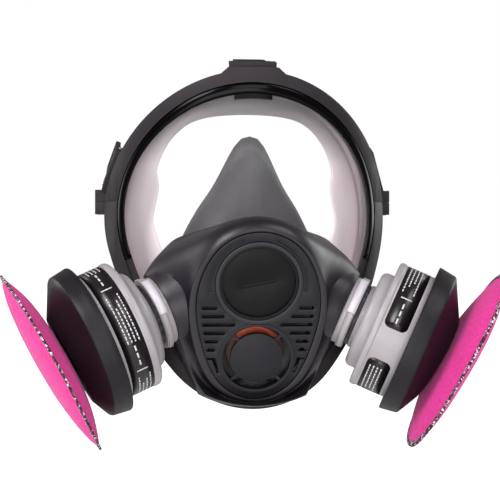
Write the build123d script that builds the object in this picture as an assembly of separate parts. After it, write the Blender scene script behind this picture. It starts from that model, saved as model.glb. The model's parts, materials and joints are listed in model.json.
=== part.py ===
"""Full-face respirator with twin gas cartridges, clip-on filter adapters and pancake particle filters.

Millimetres. +Z is up, the wearer looks along -Y, and the wearer's left is +X.
The origin is the centre of the face opening, level with the side of the lens frame.
Each separate piece is one node, and identical fasteners share a node as separate solids.
"""

from build123d import *
import math
import os

# ---------------------------------------------------------------- driving dimensions
CLEAR = 0.1            # gap between pieces that are fitted together
RUN = 0.05             # radial gap of a part that turns or slides on another
BIG = 400.0            # longer than anything on the mask

# The lens is part of an upright cylinder. The frame follows its rim.
LENS_R = 98.0
LENS_THICK = 2.5
LENS_AXIS_Y = 46.0
LENS_INSET = 5.0       # the lens edge lies this far inside the frame's outline
FRAME_WIDTH = 11.8
FRAME_FRONT = 3.2      # the frame stands this far in front of the lens
FRAME_BACK = 9.0
FRAME_LIP = 4.6        # width of the lower inner step that borders the view
FRAME_STEP = 1.8
SPLIT_Z = 21.0         # upper and lower frame halves meet here

# Frame outline, seen from the front: four tangent arcs from the brow to the chin.
BROW_Z = 97.0
OUTLINE_RADII = (87.3, 82.8, 185.0, 61.0)
OUTLINE_TURNS = (0.0, 55.0, 105.0, 130.0, 180.0)   # the turning angle where each arc starts and ends

# Face seal: a skirt behind the frame, then a flange that curves round the face.
FACE_R = 90.0
FACE_AXIS_Y = 72.0
SEAL_THICK = 3.0
SKIRT_INSET = 4.0
SKIRT_THICK = 3.2

# Nose cup: a hollow cone from the housing's tube to an edge that fits round nose and mouth.
NOSE_WALL = 2.0
NOSE_FRONT_R = 38.6
NOSE_TILT = 18.0
NOSE_REAR_Y = -6.0
NOSE_REAR_Z = -14.0

# Front housing: a hood from a round base on the lens to a shield-shaped face that leans down.
HOOD_CENTRE_Z = -45.0
TUBE_R = 38.0
TUBE_BORE = 34.5
TUBE_END_Y = -35.0
FACE_POINT = (0.0, -82.0, -26.8)   # the speech diaphragm's centre on the sloping face
FACE_TILT = 20.2
HOOD_ROUND = 4.0
HOOD_WALL = 3.0
COVER_THICK = 2.5
SEAT_HOLE_R = 14.5
POCKET_DEPTH = 8.0
EXHALE_Y = -46.2       # the exhalation valve's centre on the face, below the diaphragm's
EXHALE_OPEN_R = 19.9
EXHALE_DISC_R = 15.2
BARREL_R = 25.0
BARREL_BORE = 22.8
DIAPHRAGM_BORE = 20.0
CAP_R = 20.9
CAP_SLOT_ANGLE = 12.0

# Cartridge port on the wearer's left. The other one is its mirror image.
PORT = (56.6, -55.0, -44.6)
PORT_AXIS = (0.892, -0.195, -0.400)
CONNECTOR_R = 15.0
CONNECTOR_BORE = 11.5
VALVE_ROOM_R = 13.2
AIRWAY_R = 9.0
RING_R = 21.6
BOSS_R = 28.0           # the hood's boss widens to this behind the ring
RING_LUG_TURN = 40.0
LUG_R = 22.6
CASE_SMALL_R = 29.5
CASE_R = 38.0
CASE_WALL = 1.8
CASE_STEP = 17.0       # distances along the port's axis from here on
CASE_END = 44.0
ADAPTER_R = 45.0
ADAPTER_FACE_R = 43.4
ADAPTER_START = 38.5
ADAPTER_FACE = 49.5
CONE_TOP = 62.5         # the cone is cut off before this, level with the filter
CONE_TOP_R = 18.5
CONE_GAP = 0.4
ADAPTER_WALL = 2.4
FILTER_BASE = 59.0
FILTER_AXIS = (0.868, -0.090, -0.488)
STUB_R = 12.0
FILTER_R = 57.0
FILTER_INNER = 9.5
FILTER_OUTER = 8.0
FILTER_EDGE = 1.6

# Harness buckles.
PIN_R = 1.1
KNUCKLE_R = 2.6
KNUCKLE_HALF = 10.6
EAR_OUT = 13.8
BUCKLE_LENGTH = 25.0
BUCKLE_THICK = 2.8
ROLLER_AT = 13.0
ROLLER_R = 1.6
TRUNNION_R = 0.8
SCREW_X, SCREW_Y, SCREW_R, SCREW_HEAD_R = 88.6, 8.6, 1.2, 2.2

# Half outlines, each from its top to its bottom as (across, up) points.
SEAL_OPENING = [
    (0, 74), (30, 71), (46, 59.5), (54.5, 42), (53.5, 30), (57, 10), (54.5, -1),
    (51, -12), (50.5, -26), (49.5, -40), (42, -57), (29, -71.5), (0, -80.5),
]
NOSE_REAR = [(0, 77.5), (8.5, 71), (21, 47), (32, 29), (41, 9), (44, -14), (40, -33), (25, -49), (0, -56)]
COVER_OUTLINE = [
    (0, 30.5), (20, 23.5), (31, 8), (35.2, -9), (34.6, -24),
    (31.5, -38), (27.5, -50), (22, -60), (12.5, -68.5), (0, -71.8),
]
HOOD_BASE = [
    (0, 57.6), (23, 54.5), (43.5, 44.5), (57.5, 30), (64.5, 14),
    (64.0, -3), (57, -21), (46.5, -36), (33.5, -48), (17.5, -55.5), (0, -57.6),
]
HOOD_MIDDLE = [
    (0, 54.2), (21, 50.0), (40, 38.0), (52.6, 20), (56.0, -1),
    (51, -21.5), (38.5, -39.5), (20.5, -51.5), (0, -55.6),
]
HOOD_OUTLINE = [
    (0, 36), (24, 28), (38, 10), (43, -8), (42.4, -26),
    (38.5, -43), (33, -56.5), (25.5, -67.5), (14, -75.2), (0, -78),
]

# Vent slots in the cover: one row each, from the top down.
SLOT_TOP, SLOT_PITCH, SLOT_TALL = -15.2, 5.2, 2.3
SLOT_OUTER = (32.4, 32.4, 32.0, 31.2, 30.2, 29.2)
SLOT_INNER = (23.6, 19.2, 12.8, 18.6, 22.4, 24.0)

# Air valves in the nose cup's sides.
SEAT_X, SEAT_Y, SEAT_Z, SEAT_R = 33.0, -14.0, -30.0, 10.0


# ---------------------------------------------------------------- helpers
def save(name, shape):
    """Writes one node, each of its solids closed and separate."""
    solids = shape.solids()
    export_step(solids[0] if len(solids) == 1 else Compound(children=solids), f"parts/{name}.step")


def disc(plane, radius, low, high):
    """A round slab on a plane, from one height to another along its normal."""
    return extrude(plane.offset(low) * Circle(radius), high - low)


def tube(plane, outer, inner, low, high):
    """A round tube on a plane."""
    return disc(plane, outer, low, high) - disc(plane, inner, low - 1, high + 1)


def frustum(plane, low_radius, high_radius, low, high):
    """A cone slice on a plane."""
    return loft([plane.offset(low) * Circle(low_radius), plane.offset(high) * Circle(high_radius)])


def hole_ring(plane, radius, count, size):
    """A ring of round holes as a sketch on a plane."""
    return plane * (Sketch() + [place * Circle(size) for place in PolarLocations(radius, count)])


def beyond(plane):
    """Everything on the far side of a plane, as a large block."""
    return extrude(plane * Rectangle(2 * BIG, 2 * BIG), BIG)


def upright_cylinder(radius, axis_y):
    """A tall cylinder on an upright axis behind the mask."""
    return Pos(0, axis_y, 0) * Cylinder(radius, BIG)


def outline(inset):
    """The frame's outline as a face on XZ, moved inwards: four tangent arcs a side."""
    centre = (0.0, BROW_Z - OUTLINE_RADII[0])
    arcs = []
    for k, radius in enumerate(OUTLINE_RADII):
        start, end = OUTLINE_TURNS[k], OUTLINE_TURNS[k + 1]
        points = []
        for turn in (start, (start + end) / 2, end):
            a = math.radians(turn)
            reach = radius - inset
            points.append((centre[0] + reach * math.sin(a), centre[1] + reach * math.cos(a)))
        arcs.append(points)
        if k + 1 < len(OUTLINE_RADII):
            a = math.radians(end)
            step = radius - OUTLINE_RADII[k + 1]
            centre = (centre[0] + step * math.sin(a), centre[1] + step * math.cos(a))
    arcs[-1][-1] = (0.0, arcs[-1][-1][1])
    right = [ThreePointArc(*p) for p in arcs]
    left = [ThreePointArc(*[(-x, z) for x, z in p]) for p in arcs]
    return Plane.XZ * make_face(right + left)


def prism(face):
    """A face on XZ drawn out along Y, far in front and behind."""
    return extrude(face, BIG / 2, both=True)


def behind_lens_curve(shift):
    """The space behind the lens's outer curve, moved back by a distance along Y."""
    axis_y = LENS_AXIS_Y + shift
    block = Pos(0, axis_y + BIG / 2, 0) * Box(2 * LENS_R, BIG, BIG)
    return upright_cylinder(LENS_R, axis_y) + block


def smooth_face(plane, half):
    """A smooth closed face from half an outline, given from its top to its bottom on x = 0."""
    right = Spline(*half, tangents=((1, 0), (-1, 0)), tangent_scalars=(1, 1))
    left = Spline(*[(-x, y) for x, y in half], tangents=((-1, 0), (1, 0)), tangent_scalars=(1, 1))
    return plane * make_face([right, left])


def leaning_forward(degrees):
    """The direction straight ahead, leaning down by an angle."""
    return (0, -math.cos(math.radians(degrees)), -math.sin(math.radians(degrees)))


def side(shape, left):
    """A piece modelled on the wearer's left, mirrored for the right."""
    return shape if left else mirror(shape, about=Plane.YZ)


FACE = Plane(origin=FACE_POINT, x_dir=(1, 0, 0), z_dir=leaning_forward(FACE_TILT))
EXHALE = Plane(origin=FACE.from_local_coords(Vector(0, EXHALE_Y, 0)), x_dir=(1, 0, 0), z_dir=FACE.z_dir)
PORT_PLANE = Plane(origin=PORT, x_dir=(0, 1, 0), z_dir=PORT_AXIS)
FILTER_CENTRE = PORT_PLANE.from_local_coords(Vector(0, 0, FILTER_BASE))
FILTER_PLANE = Plane(origin=FILTER_CENTRE, x_dir=(0, 1, 0), z_dir=FILTER_AXIS)
HOUSING_AXIS = Plane(origin=(0, 0, HOOD_CENTRE_Z), x_dir=(1, 0, 0), z_dir=(0, -1, 0))


# ---------------------------------------------------------------- lens and frame
def lens():
    shell = upright_cylinder(LENS_R, LENS_AXIS_Y) - upright_cylinder(LENS_R - LENS_THICK, LENS_AXIS_Y)
    front_half = Pos(0, LENS_AXIS_Y - BIG / 2, 0) * Box(BIG, BIG, BIG)
    sheet = shell & front_half & prism(outline(LENS_INSET))
    return sheet - disc(HOUSING_AXIS, TUBE_R + CLEAR, -20, 80)


def frame_ring():
    """The whole rim: a raised outer band, a lower inner lip and a groove for the lens."""
    band = prism(outline(0)) - prism(outline(FRAME_WIDTH))
    ring = (band & behind_lens_curve(-FRAME_FRONT)) - behind_lens_curve(FRAME_BACK)
    lip = (prism(outline(FRAME_WIDTH - FRAME_LIP)) - behind_lens_curve(FRAME_STEP - FRAME_FRONT))
    ring -= lip
    groove = upright_cylinder(LENS_R + CLEAR, LENS_AXIS_Y)
    groove -= upright_cylinder(LENS_R - LENS_THICK - CLEAR, LENS_AXIS_Y)
    return ring - (groove & prism(outline(LENS_INSET - CLEAR)))


def brow_tab():
    """The tab above the brow that carries the top buckle."""
    base, top, low, high = 23.5, EAR_OUT + 1.2, BROW_Z - 6, BROW_Z + 1.6
    face = Plane.XZ * make_face(Polyline((-base, low), (-top, high), (top, high), (base, low), close=True))
    slab = behind_lens_curve(-FRAME_FRONT) - behind_lens_curve(FRAME_BACK)
    return (prism(face) & slab) - prism(outline(3.0))


# Each buckle: the pin's centre, the direction of the pin, and the direction in which its strap pulls.
BUCKLES = {
    "brow": ((0.0, -46.5, 100.6), (1, 0, 0), (0, 0.98, 0.20)),
    "temple_left": ((81.4, 3.4, 41.7), (0.31, 0.40, -0.86), (0.05, 1.0, 0.10)),
    "cheek_left": ((67.2, -14.6, -53.8), (-0.452, -0.409, -0.793), (0.0, 1.0, -0.10)),
}


def buckle_plane(name):
    """Local x along the pin, y along the strap and z through the buckle's thickness."""
    origin, pin, pull = BUCKLES[name]
    pin_dir, pull_dir = Vector(*pin).normalized(), Vector(*pull).normalized()
    return Plane(origin=origin, x_dir=pin_dir, z_dir=pin_dir.cross(pull_dir))


def buckle_ears(plane):
    """Two ears with a pin hole, and the block that ties them to the frame's edge."""
    ears = None
    for sign in (-1, 1):
        middle = sign * (KNUCKLE_HALF + CLEAR + EAR_OUT) / 2
        wide = EAR_OUT - KNUCKLE_HALF - CLEAR
        ear = plane * (Pos(middle, -1.6, 0) * Box(wide, 8.0, 4.6))
        ears = ear if ears is None else ears + ear
    ears += plane * (Pos(0, -4.8, -1.8) * Box(2 * EAR_OUT, 3.4, 8.2))
    hole = Plane(origin=plane.origin, x_dir=plane.y_dir, z_dir=plane.x_dir)
    return ears - disc(hole, PIN_R, -EAR_OUT - 1, EAR_OUT + 1)


def buckle_pin(plane):
    axis = Plane(origin=plane.origin, x_dir=plane.y_dir, z_dir=plane.x_dir)
    return disc(axis, PIN_R, -EAR_OUT, EAR_OUT)


def buckle(plane):
    """A tapering loop with a knuckle on the pin and a window that the roller crosses."""
    half = make_face(
        Polyline(
            (-KNUCKLE_HALF, 0), (-KNUCKLE_HALF, 4), (-9.4, BUCKLE_LENGTH), (9.4, BUCKLE_LENGTH),
            (KNUCKLE_HALF, 4), (KNUCKLE_HALF, 0), close=True,
        )
    )
    plate = extrude(half, BUCKLE_THICK / 2, both=True)
    plate = fillet(plate.edges().filter_by(Axis.Z).sort_by(Axis.Y)[-2:], 2.0)
    axis = Plane(origin=(0, 0, 0), x_dir=(0, 1, 0), z_dir=(1, 0, 0))
    plate += disc(axis, KNUCKLE_R, -KNUCKLE_HALF, KNUCKLE_HALF)
    plate -= disc(axis, PIN_R + RUN, -BIG, BIG)
    plate -= Pos(0, ROLLER_AT, 0) * Box(2 * 6.6, 16.8, 10)
    across = Plane(origin=(0, ROLLER_AT, 0), x_dir=(0, 1, 0), z_dir=(1, 0, 0))
    plate -= disc(across, TRUNNION_R + RUN, -8.0, 8.0)
    return plane * plate


def roller(plane):
    """A ribbed bar that turns in the buckle's sides and grips the strap."""
    across = Plane(origin=(0, ROLLER_AT, 0), x_dir=(0, 1, 0), z_dir=(1, 0, 0))
    bar = disc(across, ROLLER_R, -6.4, 6.4) + disc(across, TRUNNION_R, -7.9, 7.9)
    return plane * bar


def frame_halves():
    """Upper and lower frame, with the buckle ears and the lugs that the frame screws clamp."""
    ring = frame_ring() + brow_tab()
    lens_room = upright_cylinder(LENS_R + CLEAR, LENS_AXIS_Y) & prism(outline(LENS_INSET - CLEAR))
    seal_room = prism(outline(SKIRT_INSET - CLEAR)) & behind_lens_curve(FRAME_BACK)
    for name in BUCKLES:
        for left in ((True,) if name == "brow" else (True, False)):
            plane = buckle_plane(name)
            keep_clear = plane * (Pos(0, 3, 0) * Box(2 * (KNUCKLE_HALF + CLEAR), 12.0, 7.0))
            ring -= side(keep_clear, left)
            ring += side(buckle_ears(plane), left) - seal_room
    for left in (True, False):
        ring -= side(disc(PORT_PLANE, LUG_R + 0.6, -3.5, 8.0), left)
    for x in (-SCREW_X, SCREW_X):
        lug = Pos(x, SCREW_Y, SPLIT_Z) * Box(7.0, 8.0, 15.0)
        ring += lug - lens_room - seal_room
    for x in (-SCREW_X, SCREW_X):
        ring -= Pos(x, SCREW_Y, SPLIT_Z) * Cylinder(SCREW_R + CLEAR, 60)
        ring -= Pos(x, SCREW_Y, SPLIT_Z + 9.5) * Cylinder(SCREW_HEAD_R + CLEAR, 8.0)
        ring -= Pos(x, SCREW_Y, SPLIT_Z - 9.5) * Cylinder(SCREW_HEAD_R + CLEAR, 8.0)
    halves = []
    for sign in (1, -1):
        block = Pos(0, 0, SPLIT_Z + sign * (BIG / 2 + CLEAR)) * Box(BIG, BIG, BIG)
        halves.append(ring & block)
    return halves


def frame_screws():
    """Cap screws down through the side lugs."""
    screws = []
    for x in (-SCREW_X, SCREW_X):
        shank = Pos(x, SCREW_Y, SPLIT_Z - 1.2) * Cylinder(SCREW_R, 13.0)
        head = Pos(x, SCREW_Y, SPLIT_Z + 6.5) * Cylinder(SCREW_HEAD_R, 2.0)
        socket = Pos(x, SCREW_Y, SPLIT_Z + 7.5) * extrude(RegularPolygon(1.1, 6), -1.2)
        screws.append((shank + head) - socket)
    return Compound(children=screws)


def frame_nuts():
    """Round nuts under the side lugs."""
    nuts = [
        Pos(x, SCREW_Y, SPLIT_Z - 6.7) * (Cylinder(SCREW_HEAD_R, 2.2) - Cylinder(SCREW_R + RUN, 4))
        for x in (-SCREW_X, SCREW_X)
    ]
    return Compound(children=nuts)


# ---------------------------------------------------------------- face seal and nose cup
def behind_face(radius):
    """The space behind a curve of this radius about the face's axis."""
    block = Pos(0, FACE_AXIS_Y + BIG / 2, 0) * Box(2 * radius, BIG, BIG)
    return upright_cylinder(radius, FACE_AXIS_Y) + block


def face_seal():
    """An L-section ring: a skirt back from the frame and a flange that follows the face."""
    ahead = behind_face(FACE_R + SEAL_THICK)
    behind = behind_face(FACE_R)
    start = behind_lens_curve(FRAME_BACK + CLEAR)
    skirt = prism(outline(SKIRT_INSET)) - prism(outline(SKIRT_INSET + SKIRT_THICK))
    skirt = (skirt & start) - behind
    flange = prism(outline(SKIRT_INSET)) - prism(smooth_face(Plane.XZ, SEAL_OPENING))
    flange = (flange & ahead & start) - behind
    return skirt + flange


def nose_sections(grow):
    """Front ring, waist and rear edge of the nose cup, as faces made smaller or larger by an offset."""
    rear = Plane(
        origin=(0, NOSE_REAR_Y, NOSE_REAR_Z),
        x_dir=(1, 0, 0),
        z_dir=leaning_forward(NOSE_TILT),
    )
    rear_half = [scaled(p, grow) for p in NOSE_REAR]
    front = HOUSING_AXIS.offset(-TUBE_END_Y + 0.0)
    return smooth_face(front, half_circle(NOSE_FRONT_R + grow)), smooth_face(rear, rear_half)


def scaled(point, grow):
    """A point of an outline moved outwards from the outline's middle by about the given distance."""
    reach = math.hypot(*point)
    return (point[0] * (1 + grow / reach), point[1] * (1 + grow / reach))


def nose_cup():
    """A thin soft cone, open at both ends, with a hole each side for an air valve."""
    shell = loft(list(nose_sections(0.0)), ruled=True) - loft(list(nose_sections(-NOSE_WALL)), ruled=True)
    across = Plane(origin=(0, SEAT_Y, SEAT_Z), x_dir=(0, 1, 0), z_dir=(1, 0, 0))
    return shell - disc(across, SEAT_R + CLEAR, -BIG, BIG)


def nose_valve_seat():
    """A flanged ring through the nose cup's wall, with a bar across that holds the valve's stem."""
    across = Plane(origin=(SEAT_X, SEAT_Y, SEAT_Z), x_dir=(0, 1, 0), z_dir=(1, 0, 0))
    ring = tube(across, SEAT_R, SEAT_R - 1.6, -2.0, 14.0)
    ring += tube(across, SEAT_R + 1.8, SEAT_R - 1.6, 14.0, 15.2)
    bar = across * (Pos(0, 0, 3.0) * Box(2 * SEAT_R - 2.4, 1.6, 1.4))
    return ring + (bar & disc(across, SEAT_R - 0.8, -10, 20))


def nose_valve():
    across = Plane(origin=(SEAT_X, SEAT_Y, SEAT_Z), x_dir=(0, 1, 0), z_dir=(1, 0, 0))
    return disc(across, SEAT_R - 2.2, 1.3, 2.0)


# ---------------------------------------------------------------- front housing
def half_circle(radius):
    """Half a circle from its top to its bottom, as points for a smooth outline."""
    turns = [math.radians(22.5 * k) for k in range(1, 8)]
    middle = [(radius * math.sin(a), radius * math.cos(a)) for a in turns]
    return [(0.0, radius)] + middle + [(0.0, -radius)]


def hood(inset=0.0):
    """The outside of the housing: a rounded base on the lens drawn into the leaning face."""
    middle = Plane(origin=(0, -66, -43.5), x_dir=(1, 0, 0), z_dir=(0, -1, -0.105))
    sections = [
        smooth_face(HOUSING_AXIS.offset(30.0 if inset else 40.0), [scaled(p, -inset) for p in HOOD_BASE]),
        smooth_face(middle, [scaled(p, -inset) for p in HOOD_MIDDLE]),
        smooth_face(FACE.offset(-HOOD_ROUND), [scaled(p, -inset) for p in HOOD_OUTLINE]),
    ]
    if not inset:
        front = [scaled(p, -HOOD_ROUND) for p in HOOD_OUTLINE]
        sections.append(smooth_face(FACE.offset(COVER_THICK), front))
    return loft(sections)


def hood_cavity():
    """The air space each side of the tube, which the cartridge ports open into."""
    space = hood(HOOD_WALL) - beyond(FACE.offset(-POCKET_DEPTH - HOOD_WALL))
    space -= disc(HOUSING_AXIS, TUBE_R, 20, 120)
    for left in (True, False):
        space -= side(disc(PORT_PLANE, RING_R, -30, 0), left)
    space -= behind_lens_curve(-HOOD_WALL)
    for left in (True, False):
        space -= side(beyond(PORT_PLANE.offset(-2 * HOOD_WALL)), left)
    return space.solids().sort_by(SortBy.VOLUME)[-1]


def front_housing():
    """One hollow moulding: hood, tube through the lens, port bosses, valve pocket and diaphragm barrel."""
    body = hood()
    for left in (True, False):
        body += side(frustum(PORT_PLANE, BOSS_R, RING_R, -24, -3.0), left)
    for left in (True, False):
        body -= side(beyond(PORT_PLANE.offset(-3.0)), left)
    body -= behind_lens_curve(-CLEAR)
    rim_room = prism(outline(-1.0)) - prism(outline(FRAME_WIDTH + CLEAR))
    body -= rim_room & behind_lens_curve(-FRAME_FRONT - CLEAR)
    body += tube(HOUSING_AXIS, TUBE_R, TUBE_BORE, -TUBE_END_Y, 58.0) - beyond(FACE.offset(-POCKET_DEPTH))
    body -= disc(HOUSING_AXIS, TUBE_BORE, 20.0, 120.0) - beyond(FACE.offset(-POCKET_DEPTH - HOOD_WALL))
    body -= hood_cavity()
    body -= extrude(smooth_face(FACE, [scaled(p, 0.8) for p in COVER_OUTLINE]), 20.0)
    body -= extrude(smooth_face(FACE.offset(-POCKET_DEPTH), [scaled(p, -3.0) for p in COVER_OUTLINE]), 20.0)
    body += tube(FACE, BARREL_R, BARREL_BORE, -POCKET_DEPTH - HOOD_WALL, 3.2)
    body += tube(FACE, BARREL_BORE + 0.5, DIAPHRAGM_BORE, -POCKET_DEPTH - HOOD_WALL, -2.6)
    body -= disc(FACE, DIAPHRAGM_BORE, -30, -2)
    body -= disc(EXHALE, SEAT_HOLE_R, -30, 5)
    for left in (True, False):
        body -= side(disc(PORT_PLANE, VALVE_ROOM_R, -10, 2), left)
        body -= side(disc(PORT_PLANE, AIRWAY_R, -42, -9), left)
    return body


def front_cover():
    """The clip-on shield: vent slots, a ring round the diaphragm and a guard over the exhalation valve."""
    plate = extrude(smooth_face(FACE.offset(CLEAR), COVER_OUTLINE), COVER_THICK - CLEAR)
    for sign in (-1, 1):
        for k, inner in enumerate(SLOT_INNER):
            outer = SLOT_OUTER[k]
            middle = Pos(sign * (outer + inner) / 2, SLOT_TOP - k * SLOT_PITCH)
            plate -= extrude(FACE * (middle * SlotOverall(outer - inner, SLOT_TALL)), 10, both=True)
        plate -= crescent(sign)
        plate -= latch_slit(sign)
    plate += tube(EXHALE, EXHALE_OPEN_R + 2.0, EXHALE_OPEN_R, CLEAR, COVER_THICK + 0.9)
    plate -= tube(EXHALE, EXHALE_OPEN_R, EXHALE_DISC_R, -5, 20)
    spoke = Box(EXHALE_OPEN_R - EXHALE_DISC_R + 1.0, 1.7, COVER_THICK - 0.6 - CLEAR)
    spoke = Pos((EXHALE_DISC_R + EXHALE_OPEN_R) / 2, 0, (COVER_THICK - 0.6) / 2 + CLEAR) * spoke
    for turn in (45, 135, 225, 315):
        plate += EXHALE * (Rot(0, 0, turn) * spoke)
    plate += disc(EXHALE, EXHALE_DISC_R, CLEAR, COVER_THICK + 0.5)
    return plate - disc(FACE, BARREL_R + 0.3, -5, 20)


def crescent(sign):
    """A shallow curved groove beside the diaphragm's ring."""
    inner, outer = 26.5, 28.3
    ring = tube(FACE, outer, inner, COVER_THICK - 1.2, 10)
    keep = FACE * (Pos(sign * 34, 14, 4) * Box(50, 38, 20))
    return ring & keep


def latch_slit(sign):
    """The slit that frees the finger latch low on each side, which stays joined at its foot."""
    points = [(29.5, -46.0), (23.6, -46.0), (21.4, -55.6), (23.0, -55.6), (25.6, -47.6), (29.5, -47.6)]
    face = make_face(Polyline(*[(sign * x, y) for x, y in points], close=True))
    return extrude(FACE * face, 10, both=True)


def diaphragm_cap():
    """The slotted cap over the speech diaphragm."""
    cap = disc(FACE, CAP_R, 0.0, 1.8)
    turned = FACE * Rot(0, 0, CAP_SLOT_ANGLE)
    cap -= extrude(turned * (Pos(0, 0, 0.6) * SlotOverall(21.0, 3.4)), 5)
    return cap


def exhalation_seat():
    """Seat ring with a cross that carries the valve's stem."""
    seat = tube(EXHALE, 17.0, 12.4, -POCKET_DEPTH + 0.05, -POCKET_DEPTH + 1.6)
    seat += tube(EXHALE, SEAT_HOLE_R - CLEAR, 12.4, -POCKET_DEPTH - 2.6, -POCKET_DEPTH + 1.6)
    bars = EXHALE * (Pos(0, 0, -POCKET_DEPTH + 0.8) * (Box(25.6, 1.8, 1.4) + Box(1.8, 25.6, 1.4)))
    return seat + bars


def exhalation_valve():
    """A thin flap with a raised middle."""
    low = -POCKET_DEPTH + 1.7
    return disc(EXHALE, 16.2, low, low + 0.9) + disc(EXHALE, 3.0, low, low + 1.8)


# ---------------------------------------------------------------- cartridge side, on the wearer's left
def connector():
    """Flanged spigot that carries the cartridge, with a cross that backs the inhalation valve."""
    body = tube(PORT_PLANE, RING_R - 1.2, CONNECTOR_BORE, -2.9, 0.0)
    body += tube(PORT_PLANE, CONNECTOR_R, CONNECTOR_BORE, -2.9, 12.0)
    bars = Box(2 * CONNECTOR_BORE + 0.6, 1.6, 1.6) + Box(1.6, 2 * CONNECTOR_BORE + 0.6, 1.6)
    return body + PORT_PLANE * (Pos(0, 0, -2.1) * bars)


def connector_ring():
    """Light ring nut on the spigot, with two raised grip lugs."""
    ring = tube(PORT_PLANE, RING_R, CONNECTOR_R + CLEAR, 0.1, 4.2)
    lugs = tube(PORT_PLANE, LUG_R, RING_R - 0.5, 0.9, 3.6)
    keep = PORT_PLANE * (Rot(0, 0, RING_LUG_TURN) * (Box(3 * LUG_R, 26.0, 20.0)))
    return ring + (lugs & keep)


def inhalation_valve():
    return disc(PORT_PLANE, VALVE_ROOM_R - 0.4, -3.8, -3.1)


def cartridge_gasket():
    return tube(PORT_PLANE, 18.6, CONNECTOR_R + RUN, 4.3, 6.6)


def cartridge_case():
    """Two-step canister with a threaded collar, open at its outer end."""
    outer = [(0, 6.8), (19.4, 6.8), (19.4, 9.2), (26.0, 9.2)]
    bulge = ThreePointArc((26.0, 9.2), (28.6, 10.4), (CASE_SMALL_R, 13.0))
    rest = [(CASE_SMALL_R, 13.0), (CASE_SMALL_R, CASE_STEP - 0.6), (CASE_R - 1.4, CASE_STEP - 0.6)]
    rim = CASE_R + 0.6
    bend = ThreePointArc((CASE_R - 1.4, CASE_STEP - 0.6), (CASE_R + 0.1, CASE_STEP), (rim, CASE_STEP + 1.4))
    tail = [
        (rim, CASE_STEP + 1.4), (rim, CASE_STEP + 3.0), (CASE_R, CASE_STEP + 3.4),
        (CASE_R, CASE_END), (0, CASE_END), (0, 6.8),
    ]
    profile = make_face([Polyline(*outer), bulge, Polyline(*rest), bend, Polyline(*tail)])
    solid = PORT_PLANE * revolve(Plane.XZ * Pos(0, 0, 0) * profile, Axis.Z)
    solid -= disc(PORT_PLANE, CONNECTOR_R + RUN, 0, 12.6)
    solid -= disc(PORT_PLANE, CONNECTOR_BORE, 0, 30)
    solid -= disc(PORT_PLANE, CASE_SMALL_R - CASE_WALL, 14.4, 19.5)
    return solid - disc(PORT_PLANE, CASE_R - CASE_WALL, CASE_STEP + 1.6, 60)


def bed_screens():
    """Two perforated plates that hold the sorbent in place."""
    plates = []
    for low in (20.0, 38.6):
        plate = disc(PORT_PLANE, CASE_R - CASE_WALL - CLEAR, low, low + 0.9)
        for radius, count in ((11, 6), (22, 12)):
            plate -= extrude(hole_ring(PORT_PLANE.offset(low), radius, count, 2.2), 2, both=True)
        plates.append(plate)
    return Compound(children=plates)


def sorbent_bed():
    return disc(PORT_PLANE, CASE_R - CASE_WALL - CLEAR, 21.0, 38.5)


def cartridge_cap():
    """Perforated outer lid, with three rings of holes."""
    lid = disc(PORT_PLANE, CASE_R - CASE_WALL - CLEAR, 41.6, CASE_END - 0.2)
    for radius, count in ((9, 6), (18, 12), (27, 18)):
        lid -= extrude(hole_ring(PORT_PLANE.offset(40), radius, count, 1.9), 6)
    return lid


def filter_adapter():
    """A band that snaps over the cartridge's end, a cone cut level with the filter, and a stub."""
    skirt = frustum(PORT_PLANE, ADAPTER_R, ADAPTER_FACE_R, ADAPTER_START, ADAPTER_FACE)
    cone = frustum(PORT_PLANE, ADAPTER_FACE_R, CONE_TOP_R, ADAPTER_FACE, CONE_TOP)
    body = (skirt + cone) - beyond(FILTER_PLANE.offset(-CONE_GAP))
    body -= disc(PORT_PLANE, CASE_R + 0.15, 20, CASE_END + 2.4)
    inside = frustum(PORT_PLANE, CASE_R - 1.0, CONE_TOP_R - 3.0, CASE_END + 2.39, CONE_TOP - 2.4)
    body -= inside - beyond(FILTER_PLANE.offset(-CONE_GAP - ADAPTER_WALL))
    body += disc(FILTER_PLANE, STUB_R, -CONE_GAP - ADAPTER_WALL, 7.0)
    return body - disc(FILTER_PLANE, STUB_R - 2.2, -12, 12)


def adapter_seal():
    return tube(PORT_PLANE, CASE_R, CASE_R - 5.0, CASE_END + 0.1, CASE_END + 2.3)


def filter_hub():
    """The filter's plastic core: a socket for the stub and a flange inside the pad."""
    hub = tube(FILTER_PLANE, STUB_R + 2.2, STUB_R + RUN, 0.6, 7.2)
    flange = tube(FILTER_PLANE, 24.0, STUB_R - 2.2, 7.2, 8.6)
    return hub + flange


def filter_pad():
    """Two domed layers of media that meet at a thin welded edge, hollow round the hub."""
    seam = FILTER_INNER + 0.4
    edge = FILTER_EDGE / 2
    lines = [
        ThreePointArc((FILTER_R, seam - edge), (54.6, seam - 4.0), (49.0, seam - 6.4)),
        ThreePointArc((49.0, seam - 6.4), (34.0, seam - 8.6), (16.0, seam - FILTER_INNER)),
        Polyline(
            (16.0, seam - FILTER_INNER), (14.4, seam - FILTER_INNER), (14.4, 6.6), (24.2, 6.6), (24.2, 9.2),
            (0, 9.2), (0, seam + FILTER_OUTER),
        ),
        ThreePointArc((0, seam + FILTER_OUTER), (26.0, seam + 7.5), (49.0, seam + 5.6)),
        ThreePointArc((49.0, seam + 5.6), (54.6, seam + 3.6), (FILTER_R, seam + edge)),
        Line((FILTER_R, seam + edge), (FILTER_R, seam - edge)),
    ]
    profile = make_face(lines)
    return FILTER_PLANE * revolve(Plane.XZ * profile, Axis.Z)


# ---------------------------------------------------------------- the rest of the root
def housing_gasket():
    """Rubber ring between the lens and the clamp ring."""
    ring = tube(HOUSING_AXIS, 43.5, TUBE_R + CLEAR, 39.0, 60.0)
    return ring & (upright_cylinder(LENS_R - LENS_THICK - RUN, LENS_AXIS_Y))


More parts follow.
